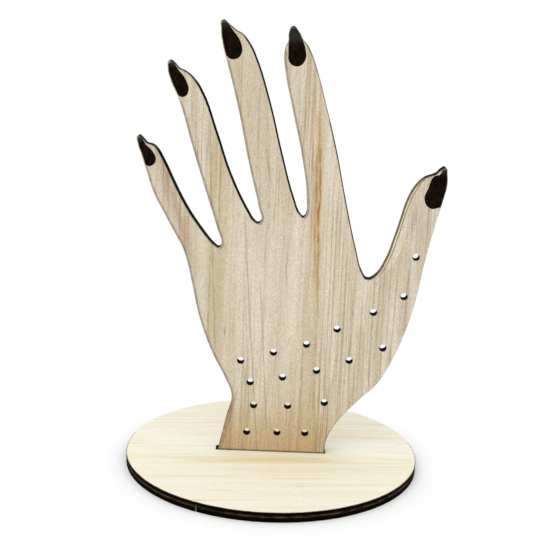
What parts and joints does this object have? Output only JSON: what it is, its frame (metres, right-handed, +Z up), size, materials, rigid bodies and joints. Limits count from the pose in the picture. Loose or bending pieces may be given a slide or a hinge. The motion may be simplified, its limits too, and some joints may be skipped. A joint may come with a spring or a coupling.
{
  "type": "hand jewelry stand",
  "caption": "Flat wooden hand with long black nails standing in the slot of a round base; fingers hold rings, holes in the palm hold earrings.",
  "frame": {"origin": "on the table, under the middle of the stand's overall box", "axes": "+Z up, the back of the hand with its nails faces -Y, +X to the viewer's right, towards the thumb"},
  "size_m": [0.1564, 0.15, 0.2232],
  "materials": {
    "hand_wood": "raw sanded veneer, burnt cut edges",
    "base_wood": "raw sanded veneer, burnt cut edges",
    "nail_black": "satin black"
  },
  "bodies": {
    "base": {"base_disc": "base_wood"},
    "hand": {"hand_panel": "hand_wood", "little_nail": "nail_black", "ring_nail": "nail_black", "middle_nail": "nail_black", "index_nail": "nail_black", "thumb_nail": "nail_black"}
  },
  "joints": [
    {"name": "hand_lift", "type": "slide", "parent": "base", "child": "hand", "axis": [0, 0, 1], "range_m": [0, 0.02]}
  ]
}
